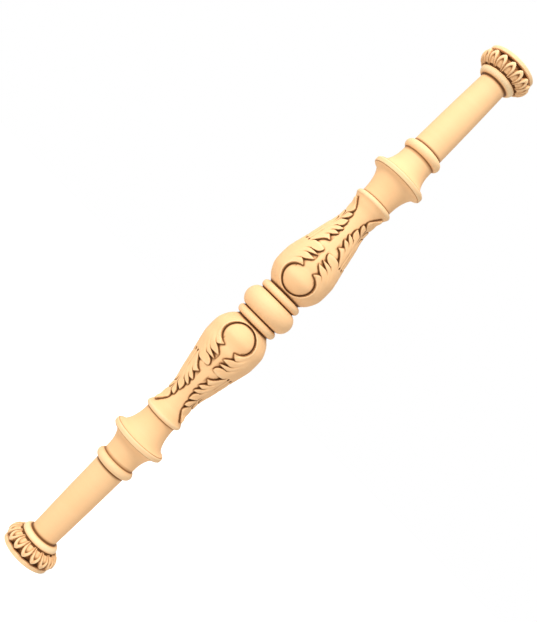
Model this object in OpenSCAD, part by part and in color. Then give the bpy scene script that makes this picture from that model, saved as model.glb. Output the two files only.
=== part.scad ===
// Stone baluster with two carved vases, turned as a mirror image about its middle ring.
// The stone stands on its lower end disc. All sizes are in millimetres, and every
// height in the design is measured from the middle of the stone towards an end.

/* [Whole stone] */
// Height over both end discs
height = 900; // [880:5:960]
// Facets round each turned curve
round_steps = 96; // [48:8:160]

/* [Middle ring and beads] */
// Radius over the middle ring
ring_r = 38.4; // [37:0.1:40]
// Half height of the middle ring
ring_half = 16; // [15.6:0.1:16.2]
// Radius over the bead beside the middle ring
bead_r = 31.3; // [30.8:0.1:32]
// Half thickness of that bead
bead_half = 5.9; // [5.8:0.1:6.2]

/* [Carved vases] */
// Radius over the leaves at the belly
belly_r = 41; // [39:0.5:43]
// Radius over the leaves at the waist
waist_r = 22.3; // [21.5:0.1:23]
// How far the leaves stand out of the ground
relief = 2.8; // [1:0.1:3]
// How far the round boss swells
boss_swell = 1.8; // [0.2:0.1:2]
// Number of carved fronts round a vase
fronts = 3; // [3:1:4]

/* [Bell and lip] */
// Radius over the lip
lip_r = 40.3; // [38:0.1:42]
// Height of the lip band
lip_band = 6.7; // [5:0.1:7]
// Radius of the bell at its neck
bell_r = 23.7; // [23:0.1:24.5]

/* [Shaft] */
// Radius of the shaft at its foot
shaft_foot_r = 22.8; // [22:0.1:23.5]
// Radius of the shaft under the leaf cap
shaft_top_r = 19.8; // [19:0.1:20.5]
// Radius over the ring at the foot of the shaft
foot_ring_r = 29.1; // [28:0.1:30.5]

/* [Tongue cap] */
// Number of tongues round a cap
tongues = 16; // [12:1:18]
// Radius over the tongues
tongue_r = 38.8; // [38.4:0.1:40]
// Depth of the sunken field of each tongue
field_depth = 1.3; // [0.6:0.1:1.8]
// Radius of each end disc
disc_r = 35.9; // [34:0.1:38]
// Thickness of each end disc
disc_h = 5.7; // [4:0.1:7]

/* [Hidden] */
stone_colour = "#f0cf9b";
half_height = height / 2;
$fn = round_steps;

// Heights of the turned members, from the middle of the stone
bead_z = 22.3;
groove_z = bead_z + bead_half;
belly_z = 62;
waist_z = 161;
neck_z = 193;
neck_half = 4.2;
neck_ring_r = 28.4;
bell_z = 200;
lip_z = 236.2;
cove_z = 272;
foot_ring_z = 283;
foot_ring_half = 6.5;
cap_ring_z = half_height - 27.1;
cap_ring_half = 7.4;
cap_ring_r = 27.8;
quirk = 1.2;
tongue_base_z = half_height - 24.8;
tongue_mid_z = half_height - 12.5;
tongue_tip_z = half_height - 8.5;
recess_r = 29;

// Outline of the vase over its leaves: height and radius, joined by a smooth curve
VASE = [[24, 24.6], [28.6, 25.3], [33, 30.2], [39, 34.9], [47, 38.8], [belly_z, belly_r],
    [76, belly_r - 0.4], [86, 38.5], [102, 34.3], [118, 30.9], [133, 27.2], [148, 23.3],
    [waist_z, waist_r], [172, 23], [181, 25], [190, 26.2], [neck_z + 0.8, 25.2]];

// Inner edge of the carving: height, and the angle from the middle of the front.
// First the frame round the boss, then each lobe of the two leaves as notch and tip.
EDGE = [[36, 17], [39, 26], [44, 31.5], [52, 34.5], [59, 33], [64, 29], [67.5, 22], [69.5, 12],
    [76.4, 24.5], [85.4, 6], [86.4, 24], [91.8, 6.5], [93.8, 25.5], [96.1, 11], [104, 7],
    [105.8, 34], [106.8, 39], [113, 28], [116.3, 13], [122.8, 28], [130.9, 11.5],
    [132.2, 26], [140, 11.5], [141.4, 31], [143.4, 21], [152.8, 18], [154.4, 40],
    [155.6, 31], [161.6, 24.5], [163.4, 45], [165, 37], [172.4, 35], [176, 50], [180, 54]];

// Plain rows above and below the carving: height and the angle kept for the columns
ROWS_ABOVE = [[24, 17], [28.6, 17], [31, 17], [34, 17]];
ROWS_BELOW = [[183.5, 54], [187, 54], [neck_z + 0.8, 54]];
ROWS = concat(ROWS_ABOVE, EDGE, ROWS_BELOW);

// Half the angle of one carved front, and the width of the wall at the leaf's edge
half_front = 180 / fronts;
wall_angle = 1.6;
edge_scale = fronts == 3 ? 1 : 0.75;

// Which stretch of a list of stations holds the height z
function stretch(z, s, i = 0) = i >= len(s) - 2 || z < s[i + 1][0] ? i : stretch(z, s, i + 1);

// Slope at station i, from its two neighbours
function slope_at(s, i) =
    let (a = s[max(i - 1, 0)], b = s[min(i + 1, len(s) - 1)])
    (b[1] - a[1]) / (b[0] - a[0]);

// Radius at height z on the smooth curve through the stations s
function curve_r(z, s) =
    let (i = stretch(z, s))
    let (h = s[i + 1][0] - s[i][0])
    let (t = (z - s[i][0]) / h)
    s[i][1] * (2 * t^3 - 3 * t^2 + 1) + s[i + 1][1] * (3 * t^2 - 2 * t^3)
    + h * (slope_at(s, i) * (t^3 - 2 * t^2 + t) + slope_at(s, i + 1) * (t^3 - t^2));

// How deep the ground lies under the leaves at height z
function sink(z) = lookup(z, [[34, 0], [38, relief], [150, relief * 0.9], [180, relief], [184, 0]]);

// The swelling of the boss at height z, on the middle of the front
function swell(z) = z > 36 && z < 69 ? boss_swell * sin(180 * (z - 36) / 33) : 0;

// Angles of the columns across half a front: ground, wall, then the leaf to its midrib
function column_angles(edge) =
    let (e = edge * edge_scale, w = half_front - e)
    [0, (e - wall_angle) / 2, e - wall_angle, e, e + w * 0.3, e + w * 0.68, half_front];

// How far each of those columns stands out from the ground, as a share of the relief
LIFT = [0, 0, 0, 0.9, 1, 0.98, 0.95];
// How much of the boss's swelling each column has
SWELL_SHARE = [1, 0.7, 0, 0, 0, 0, 0];
COLUMNS = len(LIFT) - 1;

// One point of the carved vase: row, front and column, on the left or right half
function vase_point(row, front, column, side) =
    let (a = column_angles(row[1])[column] * side + front * 2 * half_front)
    let (r = curve_r(row[0], VASE) - sink(row[0]) * (1 - LIFT[column])
        + swell(row[0]) * SWELL_SHARE[column])
    [r * sin(a), -r * cos(a), row[0]];

// One row of points round the vase, front by front
function vase_row(row) = [for (front = [0 : fronts - 1])
    each concat(
        [for (c = [COLUMNS : -1 : 1]) vase_point(row, front, c, -1)],
        [for (c = [0 : COLUMNS - 1]) vase_point(row, front, c, 1)])];

module carved_vase() {
    points = [for (row = ROWS) each vase_row(row)];
    around = 2 * COLUMNS * fronts;
    last = len(ROWS) - 1;
    sides = [for (i = [0 : last - 1], j = [0 : around - 1])
        let (k = (j + 1) % around)
        each [[i * around + j, (i + 1) * around + k, i * around + k],
            [i * around + j, (i + 1) * around + j, (i + 1) * around + k]]];
    bottom = [for (j = [0 : around - 1]) j];
    top = [for (j = [around - 1 : -1 : 0]) last * around + j];
    polyhedron(points = points, faces = concat(sides, [bottom, top]));
}

// Quarter of an ellipse that flares from radius r0 at z0 to radius r1 at z1
function flare(r0, z0, r1, z1) = [for (a = [0 : 7.5 : 90])
    [r0 + (r1 - r0) * (1 - cos(a)), z0 + (z1 - z0) * sin(a)]];

// A round moulding seen in section: its outer radius, height and half thickness
module roll(outer_r, z, half) {
    translate([outer_r - half, z]) circle(half);
}

// The middle ring and the bead beside it, in section
module middle_section() {
    groove_r = 27;
    roll(ring_r, 0, ring_half);
    roll(bead_r, bead_z, bead_half);
    square([groove_r, bead_z]);
    square([22, groove_z - 1.7]);
}

// The neck ring, bell, lip, cove and foot ring, in section
module bell_section() {
    lip_top = lip_z + lip_band;
    inner = lip_r - quirk - 0.8;
    roll(neck_ring_r, neck_z, neck_half);
    polygon(concat([[0, neck_z - 2.5], [22, neck_z - 2.5], [bell_r, neck_z + 1]],
        flare(bell_r, bell_z, inner, lip_z - quirk),
        [[inner, lip_z], [lip_r - 0.8, lip_z], [lip_r - 0.3, lip_z + 0.6],
            [lip_r, lip_z + lip_band / 2],
            [lip_r - 0.3, lip_top - 0.6], [lip_r - 0.8, lip_top], [inner, lip_top]],
        [for (a = [90 : -7.5 : 0])
            [24.3 + (inner - 24.3) * (1 - cos(a)), cove_z + (lip_top + quirk - cove_z) * sin(a)]],
        [[24.3, foot_ring_z], [0, foot_ring_z]]));
    roll(foot_ring_r, foot_ring_z, foot_ring_half);
}

// The shaft with its slight swelling, and the ring under the tongue cap, in section
module shaft_section() {
    entasis = 0.35;
    z0 = foot_ring_z;
    z1 = tongue_base_z + 6;
    polygon(concat([[0, z0]],
        [for (i = [0 : 12])
            let (t = i / 12)
            [shaft_foot_r + (shaft_top_r - shaft_foot_r) * t + entasis * sin(180 * t),
                z0 + (z1 - z0) * t]],
        [[0, z1]]));
    roll(cap_ring_r, cap_ring_z, cap_ring_half);
}

// The block behind the tongues and the end disc, in section
module end_section() {
    edge = 0.8;
    translate([0, tongue_base_z + 3]) square([recess_r, half_height - tongue_base_z - 4]);
    translate([0, half_height - disc_h]) square([disc_r - edge, disc_h]);
    translate([0, half_height - disc_h + edge]) square([disc_r, disc_h - 2 * edge]);
}

// The whole half above the middle, in section
module half_section() {
    middle_section();
    bell_section();
    shaft_section();
    end_section();
}

// The quarter round that the tongues are cut from, in section
module ovolo_section(inset) {
    bulge = tongue_mid_z - tongue_base_z;
    intersection() {
        translate([tongue_r - bulge, tongue_mid_z]) circle(bulge - inset);
        translate([recess_r - 4, tongue_base_z - 1])
            square([tongue_r, tongue_tip_z - tongue_base_z + 1]);
    }
}

// The gap between two tongues: open at the tips, a narrow slit towards the base
module tongue_gap() {
    pitch = 360 / tongues;
    half_gap = tongue_r * sin(pitch / 2);
    tip_r = half_gap - 0.8;
    slit = 1.2;
    rotate([90, 0, 0]) translate([0, 0, recess_r + 0.6]) linear_extrude(tongue_r) difference() {
        translate([-half_gap + 0.2, tongue_mid_z - 3]) square([2 * half_gap - 0.4, 9.5]);
        for (side = [-1, 1]) translate([side * half_gap, tongue_mid_z - 3]) circle(tip_r);
    }
    translate([0, -tongue_r + 8.4, tongue_mid_z - 8.4]) rotate([-45, 0, 0])
        translate([-slit / 2, -9.5, -4]) cube([slit, 20, 5.4]);
}

// The pointed field sunk into the face of a tongue, as a prism square to that face
module tongue_field() {
    half_w = 3.9;
    length = 17;
    arc_r = (half_w^2 + length^2) / (2 * half_w);
    centre_r = tongue_r - (tongue_mid_z - tongue_base_z);
    translate([0, -centre_r, tongue_mid_z]) rotate([135, 0, 0])
        translate([0, -9, 6]) linear_extrude(12) intersection() {
            translate([arc_r - half_w, 0]) circle(arc_r, $fn = 360);
            translate([half_w - arc_r, 0]) circle(arc_r, $fn = 360);
            translate([-half_w, 0]) square([2 * half_w, length]);
        }
}

// The ring of tongues of one cap
module tongue_ring() {
    pitch = 360 / tongues;
    difference() {
        rotate_extrude() ovolo_section(0);
        for (i = [0 : tongues - 1]) rotate([0, 0, (i + 0.5) * pitch]) tongue_gap();
        difference() {
            for (i = [0 : tongues - 1]) rotate([0, 0, i * pitch]) tongue_field();
            rotate_extrude() ovolo_section(field_depth);
        }
    }
}

module baluster() {
    color(stone_colour) translate([0, 0, half_height]) {
        rotate_extrude() {
            half_section();
            mirror([0, 1]) half_section();
        }
        for (end = [0, 1]) mirror([0, 0, end]) {
            carved_vase();
            tongue_ring();
        }
    }
}

baluster();
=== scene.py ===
"""Looks of the stone baluster: one carved stone, its finish, and the studio it stands in.

The stone is a surface of revolution with carving laid on it. Its section is drawn once, from
the middle ring to the upper end, as arcs, quarter ellipses and one smooth curve. The vase's
points are then moved in or out by the relief of its carving, and those of the tongues towards
the centre of their round. The lower half is the mirror image of the upper one.

Sizes are millimetres, angles are degrees, and heights are measured from the middle of the
stone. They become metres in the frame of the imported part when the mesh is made.
"""

from __future__ import annotations

import logging
import math
from dataclasses import dataclass, field
from enum import Enum

import bpy
import numpy as np
from mathutils import Matrix, Vector


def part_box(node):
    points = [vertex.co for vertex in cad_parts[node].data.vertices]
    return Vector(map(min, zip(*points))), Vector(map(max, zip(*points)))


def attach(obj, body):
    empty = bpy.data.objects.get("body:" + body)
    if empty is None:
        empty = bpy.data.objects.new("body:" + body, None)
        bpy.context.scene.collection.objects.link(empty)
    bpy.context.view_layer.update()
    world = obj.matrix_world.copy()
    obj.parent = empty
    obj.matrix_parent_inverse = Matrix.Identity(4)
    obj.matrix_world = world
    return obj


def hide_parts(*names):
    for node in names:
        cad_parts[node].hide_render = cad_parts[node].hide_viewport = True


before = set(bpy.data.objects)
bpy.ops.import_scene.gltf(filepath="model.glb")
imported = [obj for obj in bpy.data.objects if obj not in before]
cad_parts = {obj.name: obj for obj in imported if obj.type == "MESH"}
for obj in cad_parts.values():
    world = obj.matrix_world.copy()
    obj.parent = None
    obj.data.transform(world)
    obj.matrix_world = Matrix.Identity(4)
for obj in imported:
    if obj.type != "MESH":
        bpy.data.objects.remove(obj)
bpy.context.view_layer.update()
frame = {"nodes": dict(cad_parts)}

log = logging.getLogger("baluster")
MM = 0.001
Pair = tuple[float, float]
Points = tuple[Pair, ...]


# ---------------------------------------------------------------------------------------
# Curves and helpers on whole arrays
# ---------------------------------------------------------------------------------------


def smooth_step(x: np.ndarray) -> np.ndarray:
    """Rises from 0 to 1 as x goes from 0 to 1, with level ends: 3x^2 - 2x^3."""
    x = np.clip(x, 0.0, 1.0)
    return x * x * (3.0 - 2.0 * x)


def ramp(x: np.ndarray, start: float, end: float) -> np.ndarray:
    """Goes smoothly from 0 where x is start to 1 where x is end, and stays there."""
    return smooth_step((x - start) / (end - start))


def rounded(share: np.ndarray, power: float, bluntness: float) -> np.ndarray:
    """Width or height of a rounded end: (1 - share^power)^bluntness, with share in 0 to 1."""
    return (1 - np.clip(share, 0.0, 1.0) ** power) ** bluntness


def bell(x: np.ndarray, width: float | np.ndarray) -> np.ndarray:
    """A bell-shaped bump, 1 at x = 0 and falling as exp(-(x / width)^2)."""
    return np.exp(-((x / width) ** 2))


def arc(centre: Pair, radius: float, start: float, end: float, n: int) -> np.ndarray:
    """Points on a circle in the section plane.

    Args:
        centre: Radius and height of the circle's centre.
        radius: Radius of the circle.
        start: First angle, 0 pointing outwards and 90 upwards.
        end: Last angle.
        n: Number of points.

    Returns:
        An array of n rows of radius and height.
    """
    a = np.radians(np.linspace(start, end, n))
    return np.stack([centre[0] + radius * np.cos(a), centre[1] + radius * np.sin(a)], 1)


def flare(foot: Pair, rim: Pair, n: int) -> np.ndarray:
    """A quarter ellipse that leaves the foot upright and meets the rim level.

    The radius is r0 + (r1 - r0)(1 - cos a) and the height z0 + (z1 - z0) sin a, for a from
    0 to 90 degrees.

    Args:
        foot: Radius and height where the curve is upright.
        rim: Radius and height where the curve is level.
        n: Number of points.

    Returns:
        An array of n rows of radius and height, from foot to rim.
    """
    a = np.linspace(0.0, math.pi / 2, n)
    r = foot[0] + (rim[0] - foot[0]) * (1.0 - np.cos(a))
    z = foot[1] + (rim[1] - foot[1]) * np.sin(a)
    return np.stack([r, z], 1)


def spaced(points: np.ndarray, step: float) -> np.ndarray:
    """Walks along a chain of points and puts new points on it at equal steps.

    Args:
        points: Rows of coordinates, in order.
        step: Wanted distance between neighbours.

    Returns:
        The chain resampled, with its first and last points kept.
    """
    run = np.concatenate([[0.0], np.cumsum(np.linalg.norm(np.diff(points, axis=0), axis=1))])
    n = max(2, int(round(run[-1] / step)) + 1)
    at = np.linspace(0.0, run[-1], n)
    return np.stack([np.interp(at, run, points[:, 0]), np.interp(at, run, points[:, 1])], 1)


def quadratic(a: np.ndarray, pull: np.ndarray, b: np.ndarray, n: int = 14) -> np.ndarray:
    """A quadratic Bezier curve: (1 - t)^2 a + 2 t (1 - t) pull + t^2 b.

    Args:
        a: First point.
        pull: The point that the curve is drawn towards.
        b: Last point.
        n: Number of points.

    Returns:
        An array of n rows, with the last point left out.
    """
    t = np.linspace(0.0, 1.0, n, endpoint=False)[:, None]
    return (1 - t) ** 2 * a + 2 * t * (1 - t) * pull + t * t * b


def distance_to_chain(px: np.ndarray, pz: np.ndarray, chain: np.ndarray) -> np.ndarray:
    """Shortest distance from each point to a chain of straight pieces.

    Args:
        px: First coordinate of every point.
        pz: Second coordinate of every point.
        chain: Rows of the chain's corners.

    Returns:
        An array of distances, shaped as px.
    """
    best = np.full(px.shape, np.inf)
    for (ax, az), (bx, bz) in zip(chain[:-1], chain[1:]):
        ex, ez = bx - ax, bz - az
        t = np.clip(((px - ax) * ex + (pz - az) * ez) / (ex * ex + ez * ez + 1e-12), 0.0, 1.0)
        best = np.minimum(best, (px - ax - t * ex) ** 2 + (pz - az - t * ez) ** 2)
    return np.sqrt(best)


def inside_outline(px: np.ndarray, pz: np.ndarray, outline: np.ndarray) -> np.ndarray:
    """Tells which points lie inside a closed outline, by counting crossings of a level ray.

    Args:
        px: First coordinate of every point.
        pz: Second coordinate of every point.
        outline: Rows of the outline's corners.

    Returns:
        An array of true and false, shaped as px.
    """
    odd = np.zeros(px.shape, bool)
    for (ax, az), (bx, bz) in zip(outline, np.roll(outline, -1, axis=0)):
        spans = (az > pz) != (bz > pz)
        at = ax + (pz - az) * (bx - ax) / ((bz - az) if bz != az else 1e-12)
        odd ^= spans & (px < at)
    return odd


def blurred(values: np.ndarray, passes: int) -> np.ndarray:
    """Averages a grid with its neighbours, by repeated weights 1-2-1 both ways.

    Args:
        values: Array whose first axis is the rows and second the columns round the stone.
        passes: How many times the weights are laid on.

    Returns:
        The blurred array. Columns wrap round; the end rows are repeated.
    """
    out = values
    for _ in range(passes):
        out = (np.roll(out, 1, 1) + 2 * out + np.roll(out, -1, 1)) / 4
        padded = np.concatenate([out[:1], out, out[-1:]])
        out = (padded[:-2] + 2 * out + padded[2:]) / 4
    return out


# ---------------------------------------------------------------------------------------
# The carved vase
# ---------------------------------------------------------------------------------------


@dataclass(frozen=True)
class Ridge:
    """A ridge, or a groove if its height is below 0, with a bell-shaped section."""

    height: float
    width: float
    beside: float = 0.0

    def at(self, distance: np.ndarray) -> np.ndarray:
        """Height at a distance from its line: height exp(-((distance - beside) / width)^2)."""
        return self.height * bell(distance - self.beside, self.width)


@dataclass(frozen=True)
class Lobe:
    """One lobe of a leaf: from a notch along its brow to the tip, and back along its belly."""

    notch: Pair
    brow: Pair
    tip: Pair
    belly: Pair


@dataclass(frozen=True)
class Oval:
    """A rounded oval on the vase: |angle / half_deg|^power + |height / half_mm|^power = 1."""

    centre: float
    half_mm: float
    half_deg: float
    power: float = 2.35

    def reach(self, deg: np.ndarray, z: np.ndarray) -> np.ndarray:
        """How far out a point lies: 0 at the middle, 1 on the oval.

        Args:
            deg: Angle from the middle of the front.
            z: Height from the middle of the stone.

        Returns:
            The share, shaped as deg and z together.
        """
        across = np.abs(deg / self.half_deg) ** self.power
        along = np.abs((z - self.centre) / self.half_mm) ** self.power
        return (across + along) ** (1.0 / self.power)

    def rim(self, turn: float, n: int) -> np.ndarray:
        """Points on the oval, from its foot up one side.

        The angle is half_deg |sin a|^(2 / power), and the height is the centre's less
        half_mm |cos a|^(2 / power) with the sign of cos a, for a from 0 to turn.

        Args:
            turn: Last value of a, in degrees; 180 is the top of the oval.
            n: Number of points.

        Returns:
            An array of n rows of angle and height.
        """
        a = np.radians(np.linspace(0.0, turn, n))
        s, c = np.sin(a), np.cos(a)
        deg = self.half_deg * np.abs(s) ** (2 / self.power)
        z = self.centre - self.half_mm * np.sign(c) * np.abs(c) ** (2 / self.power)
        return np.stack([deg, z], 1)


@dataclass
class CarvedVase:
    """The swelling vase with its boss, frame and two tiers of leaves, three fronts round it.

    Only half a front is worked out, from its middle to the midrib where two fronts meet, and
    the rest follows by mirroring. A place on it is an angle from the front's middle and a
    height. The outline's stations are a height and a radius each. A field whose name ends in
    fade holds the height at which something is nothing, then the one where it is whole.
    """

    foot: float = 28.3
    top: float = 190.55
    step: float = 0.45
    half_front: float = 60.0
    outline: Points = (
        (24, 24.4), (28.6, 25.0), (33, 28.8), (39, 33.7), (47, 38.3), (53, 40.3), (60, 40.9),
        (68, 40.8), (76, 40.6), (86, 38.6), (102, 34.5), (118, 30.9), (133, 27.5), (148, 23.5),
        (161, 22.4), (172, 23.1), (181, 24.9), (186.5, 25.7), (190.6, 27.6), (193, 29.8),
    )
    carving_fade: Pair = (28.3, 31.8)

    channel: float = 2.7
    channel_fade: Pair = (190.0, 176.0)
    moat: float = 3.5
    moat_fade: Pair = (80.0, 60.0)
    dome: float = 3.3
    dome_fade: Pair = (78.0, 52.0)
    dome_shape: Pair = (2.2, 0.7)
    wall: float = 0.7
    boss: Oval = Oval(52.0, 19.2, 38.2)
    frame: Oval = Oval(58.8, 30.0, 60.0)

    rim_turn: float = 164.7
    hook: Pair = (11.5, 69.8)
    hook_back: Pair = (17.5, 74.2)
    lobes: tuple[Lobe, ...] = (
        Lobe((25.0, 76.6), (14.0, 80.2), (5.5, 86.0), (13.0, 86.2)),
        Lobe((27.0, 86.8), (16.0, 90.3), (6.0, 92.9), (15.0, 93.6)),
        Lobe((29.5, 93.6), (6.5, 95.6), (7.3, 104.4), (22.0, 107.3)),
        Lobe((41.0, 104.8), (26.0, 119.5), (12.3, 117.3), (20.0, 120.2)),
        Lobe((28.0, 123.9), (18.0, 127.2), (10.8, 132.0), (17.0, 132.2)),
        Lobe((26.5, 132.8), (17.5, 136.6), (11.2, 141.0), (21.0, 141.6)),
        Lobe((34.5, 139.2), (15.5, 142.3), (23.5, 153.6), (36.0, 151.2)),
        Lobe((53.0, 148.8), (27.0, 154.6), (27.3, 163.2), (40.0, 163.3)),
        Lobe((54.0, 160.4), (34.0, 164.5), (35.5, 171.0), (45.0, 174.5)),
    )
    leaf_end: Pair = (60.0, 185.0)
    soft_end: Pair = (22.0, 107.0)
    soft_lift: float = 0.6
    soft_size: float = 6.0

    undercut: float = 0.5
    notch_cut: float = 0.7
    undercut_points: int = 11
    valley: Ridge = Ridge(-0.45, 4.0)
    valley_fade: Pair = (56.0, 70.0)
    upper_tier: Pair = (96.0, 104.0)
    midrib: Ridge = Ridge(0.55, 1.9)
    midrib_side: Ridge = Ridge(-0.68, 1.4, 3.5)
    midrib_foot: Pair = (100.9, 103.9)
    midrib_top: Pair = (142.0, 120.0)
    eyelet: Pair = (53.8, 100.9)
    eyelet_r: float = 2.2
    eyelet_depth: float = 2.6
    rim: Ridge = Ridge(0.5, 0.9, 1.3)
    rim_fade: Pair = (66.0, 46.0)
    shoulder: float = 0.4
    spandrel: float = 0.55
    spandrel_fade: Pair = (54.0, 46.0)
    tip_curl: float = 3.8
    tip_curl_fade: Pair = (173.0, 184.0)
    tip_curl_across: Pair = (40.0, 54.0)
    first_vein: Pair = (15.0, 72.5)
    vein_depth: float = 0.95
    vein_reach: Pair = (26.0, -24.0)
    vein_fade: Pair = (44.0, 52.0)

    def crest(self, z: np.ndarray) -> np.ndarray:
        """Radius over the leaves at height z.

        A cubic curve through the stations of the outline, each with the slope between its
        two neighbours.

        Args:
            z: Heights from the middle of the stone.

        Returns:
            Millimetres from the axis, shaped as z.
        """
        zs, rs = np.array(self.outline, float).T
        slope = np.gradient(rs, zs)
        slope[1:-1] = (rs[2:] - rs[:-2]) / (zs[2:] - zs[:-2])
        i = np.clip(np.searchsorted(zs, z, "right") - 1, 0, len(zs) - 2)
        h = zs[i + 1] - zs[i]
        t = (z - zs[i]) / h
        keep = rs[i] * (2 * t**3 - 3 * t**2 + 1) + rs[i + 1] * (3 * t**2 - 2 * t**3)
        lean = slope[i] * (t**3 - 2 * t**2 + t) + slope[i + 1] * (t**3 - t**2)
        return keep + h * lean

    def flat(self, deg: np.ndarray, z: np.ndarray) -> np.ndarray:
        """Lays angle and height out on a plane: arc length across, height along."""
        return np.stack([self.crest(z) * np.radians(deg), z], -1)

    def plane_point(self, place: Pair) -> np.ndarray:
        """One angle and height as a point on the laid-out plane."""
        return self.flat(np.array(place[0], float), np.array(place[1], float))

    def link(self, a: Pair, pull: Pair, b: Pair) -> np.ndarray:
        """A curved stretch of edge from a to b, drawn towards pull."""
        return quadratic(self.plane_point(a), self.plane_point(pull), self.plane_point(b))

    def carving_edge(self) -> np.ndarray:
        """The inner edge of the carving: the boss's rim, then every lobe, to the leaf's end.

        Returns:
            Points on the laid-out plane, from the middle of the front to the midrib.
        """
        rim = self.boss.rim(self.rim_turn, 60)
        stops = [lobe.notch for lobe in self.lobes] + [self.leaf_end]
        chain = [self.flat(rim[:, 0], rim[:, 1]), self.link(self.hook, self.hook_back, stops[0])]
        for lobe, after in zip(self.lobes, stops[1:]):
            chain.append(self.link(lobe.notch, lobe.brow, lobe.tip))
            chain.append(self.link(lobe.tip, lobe.belly, after))
        chain.append(self.plane_point(self.leaf_end)[None])
        return np.concatenate(chain)

    def inset(self, x: np.ndarray, z: np.ndarray) -> np.ndarray:
        """Distance from the carving's edge: above 0 on the leaves, below 0 on the ground.

        Args:
            x: Arc length from the middle of the front.
            z: Height from the middle of the stone.

        Returns:
            Millimetres on the laid-out plane.
        """
        edge = self.carving_edge()
        before = -3.0
        beyond = 1.5 * math.radians(self.half_front) * max(r for _, r in self.outline)
        under = self.foot - 6.0
        lead = np.array([[before, edge[0, 1]]])
        far = np.array([[beyond, self.leaf_end[1]]])
        below = np.array([[beyond, under], [before, under]])
        gap = distance_to_chain(x, z, np.concatenate([lead, edge, far]))
        outline = np.concatenate([lead, edge, far, below])
        return np.where(inside_outline(x, z, outline), gap, -gap)

    def veins(self, x: np.ndarray, z: np.ndarray) -> np.ndarray:
        """Depth of the veins that run from the notches and lobes back along the leaf.

        Each vein is a curve that leaves its start and bends along the midrib. Its depth is a
        bell across it, and fades along it. A broad one starts at every notch, and a finer one
        at the middle of every lobe.

        Args:
            x: Arc length from the middle of the front.
            z: Height from the middle of the stone.

        Returns:
            Millimetres, shaped as x.
        """
        depth = np.zeros(x.shape)
        starts = [(self.first_vein, 0.7)] + [(lobe.notch, 1.0) for lobe in self.lobes]
        for lobe in self.lobes:
            middle = (0.5 * lobe.notch[0] + 0.5 * lobe.tip[0],
                      0.35 * lobe.notch[1] + 0.65 * lobe.tip[1])
            starts.append((middle, 0.22))
        for (deg, height), strength in starts:
            end_deg = min(self.half_front - 3.0, deg + self.vein_reach[0])
            bend = (0.5 * deg + 0.5 * end_deg, height - 3.0)
            chain = self.link((deg, height), bend, (end_deg, height + self.vein_reach[1]))
            near = distance_to_chain(x, z, chain)
            start = self.plane_point((deg, height))
            away = np.hypot(x - start[0], z - start[1])
            fade = np.clip(1.0 - away / 30.0, 0.0, 1.0) ** 1.4
            width = (0.55 + 0.6 * strength) * (0.7 + 0.04 * away)
            depth = np.maximum(depth, self.vein_depth * strength * fade * bell(near, width))
        return depth

    def undercuts(self, x: np.ndarray, z: np.ndarray) -> np.ndarray:
        """Extra depth of the ground under the lower edge of each lobe, deepest by its notch.

        Args:
            x: Arc length from the middle of the front.
            z: Height from the middle of the stone.

        Returns:
            Millimetres, shaped as x.
        """
        depth = np.zeros(x.shape)
        for lobe in self.lobes:
            brow = self.link(lobe.notch, lobe.brow, lobe.tip)[:self.undercut_points]
            near = distance_to_chain(x, z, brow)
            notch = self.plane_point(lobe.notch)
            away = np.hypot(x - notch[0], z - notch[1])
            by_notch = self.undercut + self.notch_cut * bell(away, 5.0)
            depth = np.maximum(depth, by_notch * bell(near, 1.5))
        return depth

    def ground(self, deg: np.ndarray, x: np.ndarray, z: np.ndarray) -> np.ndarray:
        """Height of the sunk ground: the domed boss in its moat, and the channel above it.

        Args:
            deg: Angle from the middle of the front.
            x: Arc length from the middle of the front.
            z: Height from the middle of the stone.

        Returns:
            Millimetres from the crest outline.
        """
        soft = self.plane_point(self.soft_end)
        from_soft = np.hypot(x - soft[0], (z - soft[1]) * 1.3)
        lift = 1 - self.soft_lift * bell(from_soft, self.soft_size)
        depth = self.channel * ramp(z, *self.channel_fade) * lift
        depth += (self.moat - self.channel) * ramp(z, *self.moat_fade)
        swell = self.dome * rounded(self.boss.reach(deg, z) * 1.05, *self.dome_shape)
        return swell * ramp(z, *self.dome_fade) - depth - self.undercuts(x, z)

    def leaf(self, deg: np.ndarray, x: np.ndarray, z: np.ndarray,
             inset: np.ndarray) -> np.ndarray:
        """Height of the leaves: midrib, rim, rounded edge, sunk spandrel, curled tip, veins.

        Args:
            deg: Angle from the middle of the front.
            x: Arc length from the middle of the front.
            z: Height from the middle of the stone.
            inset: Distance in from the carving's edge.

        Returns:
            Millimetres from the crest outline.
        """
        seam = np.radians(self.half_front - deg) * self.crest(z)
        height = self.valley.at(seam) * ramp(z, *self.valley_fade)
        height *= 1 + ramp(z, *self.upper_tier)
        along = ramp(z, *self.midrib_foot) * ramp(z, *self.midrib_top)
        height += along * (self.midrib.at(seam) + self.midrib_side.at(seam))
        height += self.rim.at(inset) * ramp(z, *self.rim_fade)
        height -= self.shoulder * np.clip(1 - inset, 0, 1) ** 2
        outside = ramp(self.frame.reach(deg, z), 1.0, 1.09)
        height -= self.spandrel * outside * ramp(z, *self.spandrel_fade)
        height += self.tip_curl * ramp(z, *self.tip_curl_fade) * ramp(deg, *self.tip_curl_across)
        height -= self.veins(x, z) * ramp(z, *self.vein_fade)
        hole = self.plane_point(self.eyelet)
        from_hole = np.hypot(x - hole[0], (z - hole[1]) * 1.1)
        return height - self.eyelet_depth * ramp(from_hole, self.eyelet_r, self.eyelet_r - 0.9)

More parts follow.
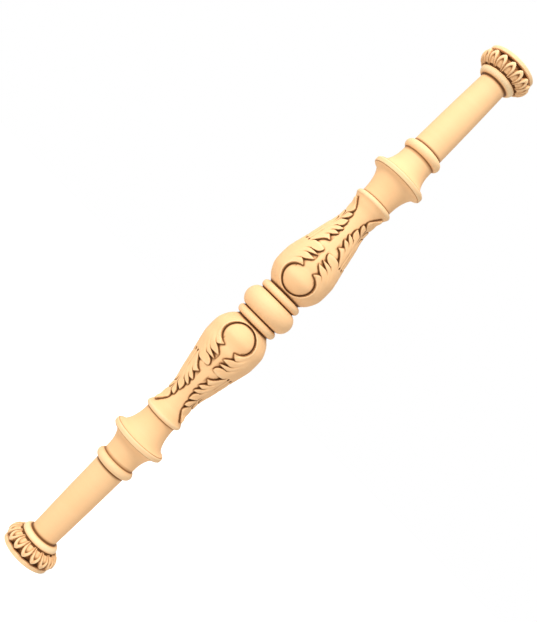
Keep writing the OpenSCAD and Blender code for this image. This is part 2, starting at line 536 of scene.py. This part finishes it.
    def relief(self, deg: np.ndarray, z: np.ndarray) -> np.ndarray:
        """How far the surface stands from the crest outline, at each angle and height.

        Args:
            deg: Angle from the middle of the front, up to half_front.
            z: Height from the middle of the stone.

        Returns:
            Millimetres, mostly below 0.
        """
        x = self.crest(z) * np.radians(deg)
        inset = self.inset(x, z)
        raised = smooth_step(inset / self.wall + 0.5)
        ground = self.ground(deg, x, z)
        surface = ground + (self.leaf(deg, x, z, inset) - ground) * raised
        return surface * ramp(z, *self.carving_fade)

    def rows(self, columns: int) -> tuple[np.ndarray, np.ndarray]:
        """Radius and height of every point of the vase.

        Args:
            columns: Points round the stone, a multiple of twice the number of fronts.

        Returns:
            Two arrays of rows by columns.
        """
        z = np.linspace(self.foot, self.top, int((self.top - self.foot) / self.step) + 1)
        half = round(columns * self.half_front / 360)
        deg = np.linspace(0.0, self.half_front, half + 1)
        grid_z, grid_deg = np.meshgrid(z, deg, indexing="ij")
        half_front = self.crest(grid_z) + self.relief(grid_deg, grid_z)
        turn = np.arange(columns) % (2 * half)
        fold = np.where(turn <= half, turn, 2 * half - turn)
        radius = half_front[:, fold]
        return radius, np.broadcast_to(z[:, None], radius.shape)


# ---------------------------------------------------------------------------------------
# The ring of tongues
# ---------------------------------------------------------------------------------------


@dataclass
class TongueRing:
    """The round under each end disc, cut into a ring of hollowed tongues.

    A place on it is an angle round the stone, from the middle of a tongue, and a turn of the
    section's circle, which is 0 at its foot and grows towards the tongue's tip. A field whose
    name ends in fade holds the turn at which something is nothing, then where it is whole.
    """

    count: int = 16
    centre: Pair = (26.8, 437.5)
    bulge: float = 12.3
    step: float = 0.3
    tip: float = 111.5
    widest: float = 45.0
    tongue_shape: Pair = (2.3, 0.7)
    gap: float = 0.8
    gap_depths: tuple[float, float, float] = (0.2, 0.7, 7.6)
    gap_deepens: tuple[Pair, Pair] = ((10.0, 40.0), (45.0, 90.0))
    gap_wall: float = 0.9
    shoulder: float = 1.1
    shoulder_width: float = 2.2
    field_deg: float = 8.3
    field_top: float = 83.0
    field_shape: Pair = (1.7, 0.6)
    field_depth: float = 1.4
    field_hollow: Ridge = Ridge(0.7, 16.0, 74.0)
    field_wall: float = 1.3
    foot_cut: float = 2.6
    foot_cut_fade: Pair = (16.0, 3.0)
    drop: float = 1.5
    drop_fade: Pair = (35.0, 0.0)

    def lined_up(self, place: np.ndarray, field_half: np.ndarray,
                 tongue_half: np.ndarray) -> np.ndarray:
        """Moves the columns so that some of them run along the edges of field and tongue.

        The nearer half of the columns is spread over the field, the next third over the
        tongue's border, and the last sixth over the gap.

        Args:
            place: Share of the way from the middle of a tongue to the middle of a gap.
            field_half: Half the angle of the sunk field in each row.
            tongue_half: Half the angle of the tongue in each row.

        Returns:
            The angle from the middle of the tongue, rows by columns.
        """
        on_field, on_tongue = 1 / 2, 5 / 6
        last = 180.0 / self.count
        inner = np.maximum(field_half, 1.6)
        outer = np.maximum(tongue_half, inner + 2.0)
        low = inner * place / on_field
        mid = inner + (outer - inner) * (place - on_field) / (on_tongue - on_field)
        high = outer + (last - outer) * (place - on_tongue) / (1 - on_tongue)
        return np.where(place < on_field, low, np.where(place < on_tongue, mid, high))

    def depth(self, turn: np.ndarray, off: np.ndarray, tongue_half: np.ndarray,
              field_half: np.ndarray) -> np.ndarray:
        """Depth below the round of the gaps, the rounded shoulders and the sunk fields.

        Args:
            turn: Turn of the section's circle, one to a row.
            off: Angle from the middle of the tongue, rows by columns.
            tongue_half: Half the angle of the tongue, one to a row.
            field_half: Half the angle of the field, one to a row.

        Returns:
            Millimetres towards the centre of the section's circle, rows by columns.
        """
        across = math.radians(1) * (self.centre[0] + self.bulge * np.sin(np.radians(turn)))
        along = math.radians(1) * self.bulge
        inset = np.minimum((tongue_half - off) * across, (self.tip - turn) * along + 0.4)
        foot, waist, tip = self.gap_depths
        gap = foot + (waist - foot) * ramp(turn, *self.gap_deepens[0])
        gap = gap + (tip - waist) * ramp(turn, *self.gap_deepens[1])
        gap = gap * smooth_step(0.35 - inset / self.gap_wall)
        shoulder = self.shoulder * np.clip(1 - inset / self.shoulder_width, 0, 1) ** 2

        sunk = np.minimum((field_half - off) * across, (self.field_top - turn) * along)
        bed = self.field_depth + self.foot_cut * ramp(turn, *self.foot_cut_fade)
        bed = (bed + self.field_hollow.at(turn)) * smooth_step(0.35 + sunk / self.field_wall)
        face = np.where(inset > 0, np.maximum(shoulder, bed), shoulder)
        return np.maximum(face, gap)

    def rows(self, columns: int) -> tuple[np.ndarray, np.ndarray, np.ndarray]:
        """Every point of the tongues, from base to tip.

        The face is a circle in section. Each point is drawn towards that circle's centre by
        the depth of the carving there.

        Args:
            columns: Points round the stone, a multiple of twice the number of tongues.

        Returns:
            Three arrays of rows by columns: the radius, the height, and how far each point
            is turned sideways from its column, in radians.
        """
        n = int(math.radians(self.tip) * self.bulge / self.step) + 1
        turn = np.linspace(0.0, self.tip, n)[:, None]
        pitch = 360.0 / self.count
        round_deg = np.arange(columns) * 360.0 / columns
        from_middle = ((round_deg + pitch / 2) % pitch - pitch / 2)[None, :]

        past = (turn - self.widest) / (self.tip + 1.5 - self.widest)
        tongue_half = (pitch / 2 - self.gap) * rounded(past, *self.tongue_shape)
        field_half = self.field_deg * rounded(turn / self.field_top, *self.field_shape)
        off = np.abs(from_middle)
        sideways = self.lined_up(off / (pitch / 2), field_half, tongue_half) - off
        sideways = sideways * ramp(turn, 0.0, 8.0) * ramp(turn, self.tip, self.tip - 16.0)

        reach = self.bulge - self.depth(turn, off + sideways, tongue_half, field_half)
        a = np.radians(turn)
        radius = self.centre[0] + reach * np.sin(a)
        height = self.centre[1] - reach * np.cos(a) - self.drop * ramp(turn, *self.drop_fade)
        return radius, height, np.radians(sideways * np.sign(from_middle))


# ---------------------------------------------------------------------------------------
# The whole stone
# ---------------------------------------------------------------------------------------


@dataclass
class Turning:
    """The plain turned members of half the stone, from the middle ring to the end disc."""

    half_height: float = 450.0
    ring_r: float = 38.4
    ring_half: float = 16.0
    ring_flat: float = 0.89
    bead_r: float = 31.3
    bead_half: float = 5.9
    bead_z: float = 22.1
    neck_ring_r: float = 28.4
    neck_half: float = 4.2
    neck_z: float = 193.0
    groove: Points = ((27.1, 15.6), (26.9, 16.1), (27.0, 16.5))
    bell_r: float = 23.7
    bell_z: float = 199.5
    lip_r: float = 40.25
    lip_z: float = 236.2
    lip_band: float = 6.7
    lip_round: float = 0.8
    quirk: float = 1.2
    cove_r: float = 24.3
    cove_z: float = 272.0
    foot_ring_r: float = 29.1
    foot_ring_half: float = 6.9
    foot_ring_z: float = 283.9
    shaft_foot_r: float = 22.8
    shaft_top_r: float = 19.8
    entasis: float = 0.35
    cap_ring_r: float = 27.8
    cap_ring_half: float = 7.4
    cap_ring_z: float = 422.9
    cap_round: float = 0.9
    recess: Points = ((26.2, 1.1), (26.0, 1.5))
    recess_r: float = 29.0
    disc_r: float = 35.9
    disc_h: float = 5.3
    arris: float = 0.8

    def middle(self) -> np.ndarray:
        """Section of the middle ring, the groove beside it and the bead.

        Returns:
            Rows of radius and height, as from every section here.
        """
        ring = arc((self.ring_r - self.ring_half, 0), self.ring_half, 0, 71, 60)
        ring[:, 0] = self.ring_r - self.ring_flat * (self.ring_r - ring[:, 0])
        bead = arc((self.bead_r - self.bead_half, self.bead_z), self.bead_half, -72, 76, 50)
        return np.concatenate([ring, self.groove, bead])

    def bells(self) -> np.ndarray:
        """Section of the neck ring, bell, lip, cove and foot ring.

        Returns:
            Rows of radius and height, upwards.
        """
        neck = arc((self.neck_ring_r - self.neck_half, self.neck_z), self.neck_half, -35, 92, 40)
        top = self.lip_z + self.lip_band
        middle = self.lip_z + self.lip_band / 2
        edge = self.lip_r - self.lip_round
        inner = edge - self.quirk
        bell_curve = flare((self.bell_r, self.bell_z), (inner, self.lip_z - self.quirk), 60)
        lip = flare((self.lip_r, middle), (edge, self.lip_z), 14)[::-1]
        lip_top = flare((self.lip_r, middle), (edge, top), 14)[1:]
        cove = flare((self.cove_r, self.cove_z), (inner, top + self.quirk), 60)[::-1]
        shelves = [np.array([[inner, z]]) for z in (self.lip_z, top)]
        foot = arc((self.foot_ring_r - self.foot_ring_half, self.foot_ring_z),
                   self.foot_ring_half, -74, 68, 50)
        return np.concatenate([neck, bell_curve, shelves[0], lip, lip_top, shelves[1], cove, foot])

    def shaft(self) -> np.ndarray:
        """Section of the shaft, the cap ring and the recess under the tongues.

        The shaft's radius goes in a straight line from foot to top, and swells between them
        by a half wave of the height entasis.

        Returns:
            Rows of radius and height, upwards.
        """
        t = np.linspace(0, 1, 40)
        z0 = self.foot_ring_z + 0.94 * self.foot_ring_half
        z1 = self.cap_ring_z - self.cap_ring_half - 0.1
        r = self.shaft_foot_r + (self.shaft_top_r - self.shaft_foot_r) * t
        r = r + self.entasis * np.sin(np.pi * t)
        shaft = np.stack([r, z0 + (z1 - z0) * t], 1)
        cap = arc((self.cap_ring_r - self.cap_ring_half, self.cap_ring_z),
                  self.cap_ring_half, -84, 0, 40)
        round_over = arc((self.cap_ring_r - self.cap_round, self.cap_ring_z),
                         self.cap_round, 0, 90, 8)[1:]
        recess = np.array(self.recess) + (0, self.cap_ring_z)
        return np.concatenate([shaft, cap, round_over, recess])

    def end(self) -> np.ndarray:
        """Section from the recess behind the tongues, over the disc, towards the axis.

        Returns:
            Rows of radius and height, outwards, upwards and inwards.
        """
        low = self.half_height - self.disc_h
        a = self.arris
        return np.concatenate([
            [[self.recess_r, low - 1.6], [self.recess_r, low - 0.3], [self.recess_r + 0.3, low]],
            arc((self.disc_r - a, low + a), a, -90, 0, 8),
            arc((self.disc_r - a, self.half_height - a), a, 0, 90, 8),
            [[self.disc_r * 0.5, self.half_height]],
        ])


@dataclass
class Baluster:
    """The stone as one closed mesh that replaces its plain node."""

    node: str = "baluster"
    columns: int = 576
    triangles: int = 197_000
    held_levels: tuple[float, ...] = (290.2, 291.4, 292.6, 293.8, 295, 297, 407, 409, 411, 413)
    # Painted shade of the cuts, as ambient occlusion worked out on the mesh, and painted highlight
    # of the arrises: search reach, strength and spread.
    reaches: tuple[int, ...] = (1, 2, 3, 4, 6, 9, 13, 18, 25, 34, 45)
    sight: float = 10.0
    clear: float = 0.065
    shade: float = 0.085
    arris_gain: float = 3.0
    arris_most: float = 0.5
    arris_clear: float = 0.05
    # On the tongues, between two distances under the top bed, the painted shade is made weaker.
    less_tongue_shade: float = 0.35
    less_tongue_shade_from: Pair = (27.0, 25.0)
    less_tongue_shade_to: Pair = (11.0, 14.0)
    turning: Turning = field(default_factory=Turning)
    vase: CarvedVase = field(default_factory=CarvedVase)
    tongues: TongueRing = field(default_factory=TongueRing)

    def plain(self, section: np.ndarray, step: float) -> tuple[np.ndarray, np.ndarray]:
        """A turned stretch as rows round the stone, spaced evenly along its section.

        Args:
            section: Rows of radius and height.
            step: Distance between rows.

        Returns:
            Two arrays of rows by columns: the radius and the height.
        """
        walk = spaced(section, step)
        shape = (len(walk), self.columns)
        return tuple(np.broadcast_to(walk[:, i : i + 1], shape) for i in (0, 1))

    def half_grid(self, coarse: bool) -> np.ndarray:
        """Points of the upper half, from the middle of the ring to the top.


        Returns:
            Rows by columns by 3, in millimetres.
        """
        step = 1.2 if coarse else 0.6
        self.vase.step = 0.8 if coarse else 0.45
        parts = [
            self.plain(self.turning.middle(), step),
            self.vase.rows(self.columns),
            self.plain(self.turning.bells(), step),
            self.plain(self.turning.shaft(), step * 2),
            self.tongues.rows(self.columns),
            self.plain(self.turning.end(), step),
        ]
        turn = np.arange(self.columns) * 2 * math.pi / self.columns
        turned = []
        for r, z, *sideways in parts:
            at = turn + (sideways[0] if sideways else 0)
            turned.append(np.stack([r * np.sin(at), -r * np.cos(at), z], 2))
        return np.concatenate(turned)

    def painted_light(self, points: np.ndarray) -> np.ndarray:
        """Painted shade and painted highlight at each point: 0 on flats, near 1 deep in a cut,
        below 0 on arrises.

        From every point the surface is followed in eight directions. The sine of the angle
        by which it rises above the point's own tangent plane, to the power 1.5 and falling
        in a straight line to nothing at the length of sight, is greatest at the horizon that
        way. The mean m of the eight says how much of the sky is shut out, and the painted shade
        is 1 - exp(-(m - clear) / shade), or 0 where m is under clear: ambient occlusion, to be
        painted into the colour. Arrises stand above the mean of their neighbours and come out
        below 0, as a painted highlight. On the tongues, between two distances under the top bed,
        the painted shade is made weaker than on the rest. The result is softly blurred.

        Args:
            points: Rows by columns by 3, in millimetres.

        Returns:
            Rows by columns.
        """
        points = points.astype(np.float32)
        along = np.gradient(points, axis=0)
        across = (np.roll(points, -1, 1) - np.roll(points, 1, 1)) / 2
        normal = np.cross(across, along)
        normal /= np.linalg.norm(normal, axis=2, keepdims=True) + 1e-9
        rows = np.arange(len(points))
        shut = np.zeros(points.shape[:2], np.float32)
        for down, side in ((1, 0), (-1, 0), (0, 1), (0, -1), (1, 1), (1, -1), (-1, 1), (-1, -1)):
            horizon = np.zeros_like(shut)
            for reach in self.reaches:
                there = points[np.clip(rows + down * reach, 0, rows[-1])]
                gap = np.roll(there, -2 * side * reach, 1) - points
                length = np.sqrt((gap**2).sum(2)) + 1e-6
                rise = (gap * normal).sum(2) / length
                near = np.clip(1 - length / self.sight, 0, 1)
                np.maximum(horizon, np.clip(rise, 0, 1) ** 1.5 * near, out=horizon)
            shut += horizon / 8
        # Painted highlight: arrises that stand out from their neighbours come out below 0.
        convex = ((points - blurred(points, 4)) * normal).sum(2)
        arris = np.clip(convex * self.arris_gain, 0.0, self.arris_most)
        arris *= np.clip(1 - shut / self.arris_clear, 0, 1)
        # Painted shade: ambient occlusion from the horizons, as a share from 0 to 1.
        dark = 1 - np.exp(-np.clip(shut - self.clear, 0, 1) / self.shade)
        below = points[-1, 0, 2] - points[..., 2]
        # Weaker painted shade on the tongues.
        dark *= 1 - self.less_tongue_shade * ramp(below, *self.less_tongue_shade_from) * ramp(below, *self.less_tongue_shade_to)
        return blurred(dark - arris, 3)

    def build(self) -> bpy.types.Object:
        """Makes the mesh: the upper half thinned where it is flat, then its mirror image.

        Returns:
            The finished piece, undressed.
        """
        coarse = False
        self.columns = 288 if coarse else self.columns
        points = self.half_grid(coarse)
        # Painted shade in the hollows and painted highlight on the arrises, worked out from the
        # shape.
        shade_and_highlight = self.painted_light(points)

        rows, cols = shade_and_highlight.shape
        index = np.arange(rows * cols).reshape(rows, cols)
        a, b = index[:-1], np.roll(index[:-1], -1, 1)
        c, d = np.roll(index[1:], -1, 1), index[1:]
        quads = np.stack([a, b, c, d], 2).reshape(-1, 4)
        hub = rows * cols
        last = index[-1]
        fans = np.stack([last, np.roll(last, -1), np.full(cols, hub)], 1)
        co = np.concatenate([points.reshape(-1, 3), [[0, 0, points[-1, 0, 2]]]])
        tone = np.concatenate([shade_and_highlight.ravel(), [0.0]])

        mesh = bpy.data.meshes.new("baluster_stone")
        mesh.from_pydata(co * MM, [], quads.tolist() + fans.tolist())
        # The painted shade and painted highlight go to the material as a point attribute.
        layer = mesh.attributes.new("shade_and_highlight", "FLOAT", "POINT")
        layer.data.foreach_set("value", tone.astype(np.float32))
        piece = bpy.data.objects.new("baluster_stone", mesh)
        bpy.context.scene.collection.objects.link(piece)
        log.info("dense half: %d rows by %d columns", rows, cols)
        if not coarse:
            self.thin(piece, 2 * len(quads) + len(fans), cols)
        self.mirror(piece)
        return piece

    def dress(self, piece: bpy.types.Object, stone: HoneyStone) -> None:
        """Gives the piece its finish and its place in the part.

        Args:
            piece: The whole stone.
            stone: Its finish.
        """
        piece.data.materials.clear()
        piece.data.materials.append(stone.material())
        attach(piece, "root")
        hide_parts(self.node)
        log.info("%s: %d faces", piece.name, len(piece.data.polygons))

    def thin(self, piece: bpy.types.Object, dense: int, ring: int) -> None:
        """Collapses the edges that matter least.

        The open edge at the middle ring is left whole, and so are a few rows near the ends of
        the shaft, where the shading of the hollows changes though the shape is straight.

        Args:
            piece: The upper half, row by row from the open edge.
            dense: Its number of triangles.
            ring: Number of points in a row.
        """
        co = np.empty(len(piece.data.vertices) * 3, np.float32)
        piece.data.vertices.foreach_get("co", co)
        height = co[2::3] / MM
        held = np.zeros(len(height), bool)
        held[:ring] = True
        for level in self.held_levels:
            row = np.argmin(np.abs(height[::ring] - level))
            held[row * ring : (row + 1) * ring] = True
        group = piece.vertex_groups.new(name="free")
        group.add(np.flatnonzero(~held).tolist(), 1.0, "REPLACE")
        thinner = piece.modifiers.new("thin", "DECIMATE")
        thinner.ratio = self.triangles / 2 / dense
        thinner.vertex_group = "free"
        thinner.vertex_group_factor = 1.0
        self.apply(piece)
        log.info("thinned half: %d triangles", len(piece.data.polygons))

    def apply(self, piece: bpy.types.Object) -> None:
        """Replaces a piece's mesh with the result of its modifiers.

        Args:
            piece: The piece, with its modifiers on it.
        """
        graph = bpy.context.evaluated_depsgraph_get()
        done = bpy.data.meshes.new_from_object(piece.evaluated_get(graph))
        piece.modifiers.clear()
        piece.data = done

    def mirror(self, piece: bpy.types.Object) -> None:
        """Adds the lower half, joins the two at the middle ring and lifts them to the frame.

        Args:
            piece: The upper half, open at height 0.
        """
        mirror = piece.modifiers.new("halves", "MIRROR")
        mirror.use_axis = (False, False, True)
        mirror.use_clip = False
        mirror.merge_threshold = 1e-6
        self.apply(piece)
        mesh = piece.data
        lift = Matrix.Translation((0, 0, self.turning.half_height * MM))
        mesh.transform(lift)
        mesh.polygons.foreach_set("use_smooth", np.ones(len(mesh.polygons), bool))
        piece.vertex_groups.clear()
        mesh.update()


# ---------------------------------------------------------------------------------------
# Finish
# ---------------------------------------------------------------------------------------


Colour = tuple[float, float, float, float]


class Socket:
    """A shader socket that can be used in sums and products."""

    def __init__(self, wiring: Wiring, link: bpy.types.NodeSocket) -> None:
        """Keeps the socket and the wiring it belongs to."""
        self.wiring = wiring
        self.link = link

    def math(self, operation: str, other: Socket | float) -> Socket:
        """One Math node on this socket and another value."""
        return self.wiring.node("ShaderNodeMath", {"operation": operation}, {0: self, 1: other})

    def __add__(self, other: Socket | float) -> Socket:
        """Sum."""
        return self.math("ADD", other)

    def __sub__(self, other: Socket | float) -> Socket:
        """Difference."""
        return self.math("SUBTRACT", other)

    def __rsub__(self, other: float) -> Socket:
        """Difference, from a number."""
        return self.wiring.node("ShaderNodeMath", {"operation": "SUBTRACT"}, {0: other, 1: self})

    def __mul__(self, other: Socket | float) -> Socket:
        """Product."""
        return self.math("MULTIPLY", other)

    __radd__ = __add__
    __rmul__ = __mul__


class Wiring:
    """A node tree, written as calls and expressions."""

    def __init__(self, tree: bpy.types.NodeTree) -> None:
        """Empties the tree."""
        self.tree = tree
        self.tree.nodes.clear()

    def feed(self, target: bpy.types.NodeSocket, value: Socket | float | tuple) -> None:
        """Links a socket or writes a value into an input.

        Args:
            target: The input.
            value: An output to link, or a value to write.
        """
        if isinstance(value, Socket):
            self.tree.links.new(value.link, target)
        else:
            target.default_value = value

    def place(self, kind: str, settings: dict, inputs: dict) -> bpy.types.Node:
        """Adds one node and feeds it.

        Args:
            kind: The node's type.
            settings: Its own settings, set before its sockets.
            inputs: Values or sockets, by input name or number.

        Returns:
            The node.
        """
        made = self.tree.nodes.new(kind)
        for key, value in settings.items():
            setattr(made, key, value)
        for key, value in inputs.items():
            self.feed(made.inputs[key], value)
        return made

    def node(self, kind: str, settings: dict, inputs: dict, output: int | str = 0) -> Socket:
        """Adds one node, as place does, and gives back the output of that name or number."""
        return Socket(self, self.place(kind, settings, inputs).outputs[output])

    def mix(self, amount: Socket | float, a: Socket | Colour, b: Socket | Colour) -> Socket:
        """Blends two colours."""
        return self.node("ShaderNodeMix", {"data_type": "RGBA"}, {0: amount, 6: a, 7: b}, 2)

    def noise(self, place: Socket, scale: float, detail: float = 2.0, rough: float = 0.5) -> Socket:
        """Noise from 0 to 1 at a number of waves to the metre."""
        return self.node("ShaderNodeTexNoise", {},
                         {"Vector": place, "Scale": scale, "Detail": detail, "Roughness": rough})

    def spread(self, value: Socket, low: float, high: float, a: float = 0.0,
               b: float = 1.0) -> Socket:
        """Maps low to a and high to b, and stops there."""
        return self.node("ShaderNodeMapRange", {"clamp": True},
                         {0: value, 1: low, 2: high, 3: a, 4: b})

    def seen_straight(self) -> Socket:
        """Tells rays that show a thing, straight on, in gloss or through glass, from the rest.

        Returns:
            A socket that is 1 for those rays and 0 for rays that only light.
        """
        rays = self.place("ShaderNodeLightPath", {}, {})
        camera, glossy, through = (
            Socket(self, rays.outputs[f"Is {kind} Ray"])
            for kind in ("Camera", "Glossy", "Transmission")
        )
        return camera.math("MAXIMUM", glossy).math("MAXIMUM", through)


class Shader(Wiring):
    """A material made of one Principled shader."""

    def __init__(self, name: str) -> None:
        """Starts the material, with the shader on its output.

        Args:
            name: Name of the material.
        """
        self.material = bpy.data.materials.new(name)
        self.material.use_nodes = True
        super().__init__(self.material.node_tree)
        self.principled = self.place("ShaderNodeBsdfPrincipled", {}, {})
        shader = Socket(self, self.principled.outputs[0])
        self.place("ShaderNodeOutputMaterial", {}, {"Surface": shader})

    def set(self, name: str, value: Socket | float | tuple) -> None:
        """Feeds one input of the Principled shader."""
        self.feed(self.principled.inputs[name], value)


@dataclass(frozen=True)
class HoneyStone:
    """Fine-grained honey-coloured stone, honed smooth, with painted shade in its cuts and painted
    highlights on its arrises.
    """

    body: Colour = (0.98, 0.60, 0.30, 1.0)
    pale: Colour = (0.99, 0.645, 0.345, 1.0)
    warm: Colour = (0.95, 0.55, 0.26, 1.0)
    # Painted highlight on the arrises.
    edge_highlight: Colour = (0.98, 0.76, 0.46, 1.0)
    # Painted shade: brown in the hollows, nearly black at the bottom of the cuts.
    shade_brown: Colour = (0.40, 0.17, 0.055, 1.0)
    deep_shade: Colour = (0.045, 0.014, 0.002, 1.0)
    cloud_waves: float = 9.0
    bed_waves: tuple[float, float, float] = (6.0, 6.0, 70.0)
    grain_waves: float = 1500.0
    speck_waves: float = 620.0
    grain_height: float = 0.0002
    roughness: float = 0.62
    specular: float = 0.2

    def material(self) -> bpy.types.Material:
        """Builds the material.

        Large soft clouds shift the colour from the body's to a warmer one, faint beds lie
        across the height, and grains and specks cover it. Where the attribute of painted light
        is below 0 the arrises get a pale painted highlight, and where it is above 0 painted shade
        turns the stone brown, and nearly black at the bottom of the cuts.

        Returns:
            The material.
        """
        s = Shader("honey_stone")
        place = s.node("ShaderNodeTexCoord", {}, {}, "Object")
        # Painted shade and painted highlight, as worked out on the mesh.
        shade_and_highlight = s.node("ShaderNodeAttribute", {"attribute_name": "shade_and_highlight"}, {}, "Fac")
        clouds = s.noise(place, self.cloud_waves, 3.0)
        bed_place = s.node("ShaderNodeMapping", {}, {"Vector": place, "Scale": self.bed_waves})
        beds = s.noise(bed_place, 1.0, 3.0, 0.6)
        grain = s.noise(place, self.grain_waves, 2.0, 0.6)
        specks = s.noise(place, self.speck_waves, 1.0, 0.5)

        colour = s.mix(s.spread(clouds, 0.35, 0.7), self.body, self.warm)
        colour = s.mix(s.spread(beds, 0.45, 0.75, 0.0, 0.35), colour, self.pale)
        colour = s.mix(s.spread(grain, 0.35, 0.7, 0.0, 0.28), colour, self.pale)
        colour = s.mix(s.spread(specks, 0.62, 0.74, 0.0, 0.22), colour, self.warm)
        # Painted highlight: the arrises are painted paler.
        colour = s.mix(s.spread(shade_and_highlight * -1.0, 0.04, 0.4, 0.0, 0.7), colour, self.edge_highlight)
        # Painted shade: brown in the hollows, nearly black at the bottom of the cuts.
        painted_shade = s.spread(shade_and_highlight + (clouds - 0.5) * 0.04, 0.03, 0.86)
        colour = s.mix(s.spread(painted_shade, 0.0, 0.6), colour, self.shade_brown)
        colour = s.mix(s.spread(painted_shade, 0.35, 1.0), colour, self.deep_shade)
        s.set("Base Color", colour)
        s.set("Roughness", s.spread(grain, 0.3, 0.7, self.roughness - 0.06, self.roughness + 0.08))
        s.set("Specular IOR Level", self.specular)
        s.set("Normal", s.node("ShaderNodeBump", {}, {
            "Strength": 0.18, "Distance": self.grain_height, "Height": grain * 0.7 + specks * 0.5,
        }))
        return s.material


# ---------------------------------------------------------------------------------------
# Studio
# ---------------------------------------------------------------------------------------


class Lamp(Enum):
    """The soft lamps: how far across, towards the camera and up each one stands, in metres."""

    KEY = (-0.95, -2.0, 1.7)
    RIM = (-2.2, -0.2, 1.4)
    TOP = (-0.3, -0.8, 2.6)


@dataclass
class Studio:
    """The floor, the white surround, the lamps and the camera.

    Lamps have a width in metres and a power in watts. The camera stands level with the point
    it aims at, and its roll turns the upright stone from corner to corner of the frame.
    """

    aim: Vector
    lamps: dict[Lamp, Pair] = field(default_factory=lambda: {
        Lamp.KEY: (0.8, 48.0),
        Lamp.RIM: (1.5, 4.0),
        Lamp.TOP: (1.5, 25.0),
    })
    white: Colour = (1.0, 1.0, 1.0, 1.0)
    black: Colour = (0.0, 0.0, 0.0, 1.0)
    world_strength: float = 0.60
    floor_half: float = 6.0
    floor_colour: Colour = (0.7, 0.7, 0.7, 1.0)
    floor_glow: float = 0.7
    distance: float = 1.194
    lens: float = 52.9
    roll: float = 45.0
    aside: float = 0.0013
    below: float = 0.0016

    def surround(self) -> None:
        """A soft pale world that shows white."""
        world = bpy.data.worlds.new("surround")
        bpy.context.scene.world = world
        world.use_nodes = True
        sky = Wiring(world.node_tree)
        soft = sky.node("ShaderNodeBackground", {},
                        {"Color": self.white, "Strength": self.world_strength})
        plain = sky.node("ShaderNodeBackground", {}, {"Color": self.white, "Strength": 1.0})
        shown = sky.node("ShaderNodeMixShader", {}, {0: sky.seen_straight(), 1: soft, 2: plain})
        sky.place("ShaderNodeOutputWorld", {}, {"Surface": shown})

    def floor(self) -> None:
        """A wide pale floor that shows nearly white and keeps the stone's shadow."""
        half = self.floor_half
        corners = [(-half, -half, 0), (half, -half, 0), (half, half, 0), (-half, half, 0)]
        mesh = bpy.data.meshes.new("floor")
        mesh.from_pydata(corners, [], [(0, 1, 2, 3)])
        floor = bpy.data.objects.new("floor", mesh)
        bpy.context.scene.collection.objects.link(floor)
        shader = Shader("pale_floor")
        shader.set("Base Color", self.floor_colour)
        shader.set("Roughness", 0.9)
        glow = shader.mix(shader.seen_straight(), self.black, self.white)
        shader.set("Emission Color", glow)
        shader.set("Emission Strength", self.floor_glow)
        mesh.materials.append(shader.material)

    def light(self) -> None:
        """Hangs the soft lamps, each turned to the middle of the stone."""
        for lamp, (size, watts) in self.lamps.items():
            name = lamp.name.lower()
            data = bpy.data.lights.new(name, "AREA")
            data.shape = "DISK"
            data.size = size
            data.energy = watts
            place = Vector(lamp.value)
            holder = bpy.data.objects.new(name, data)
            holder.location = self.aim + place
            holder.rotation_mode = "QUATERNION"
            holder.rotation_quaternion = (-place).to_track_quat("-Z", "Y")
            bpy.context.scene.collection.objects.link(holder)

    def camera(self) -> None:
        """The camera, looking straight along y."""
        data = bpy.data.cameras.new("camera")
        data.lens = self.lens
        data.sensor_width = 36.0
        data.sensor_fit = "AUTO"
        camera = bpy.data.objects.new("camera", data)
        roll = math.radians(self.roll)
        right = Vector((math.cos(roll), 0, math.sin(roll)))
        up = Vector((-math.sin(roll), 0, math.cos(roll)))
        back = Vector((0, -1, 0))
        turn = Matrix((right, up, back)).transposed().to_4x4()
        place = self.aim + back * self.distance + Vector((self.aside, 0, -self.below))
        camera.matrix_world = Matrix.Translation(place) @ turn
        bpy.context.scene.collection.objects.link(camera)
        bpy.context.scene.camera = camera


def main() -> None:
    """Builds the stone, dresses it and sets up the studio."""
    logging.basicConfig(level=logging.INFO, format="%(message)s")
    bpy.context.scene.view_settings.view_transform = "Standard"
    baluster = Baluster()
    piece = baluster.build()
    baluster.dress(piece, HoneyStone())

    low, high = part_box(baluster.node)
    studio = Studio(aim=Vector((0, 0, (low[2] + high[2]) / 2)))
    studio.surround()
    studio.floor()
    studio.light()
    studio.camera()


if __name__ == "__main__":
    main()
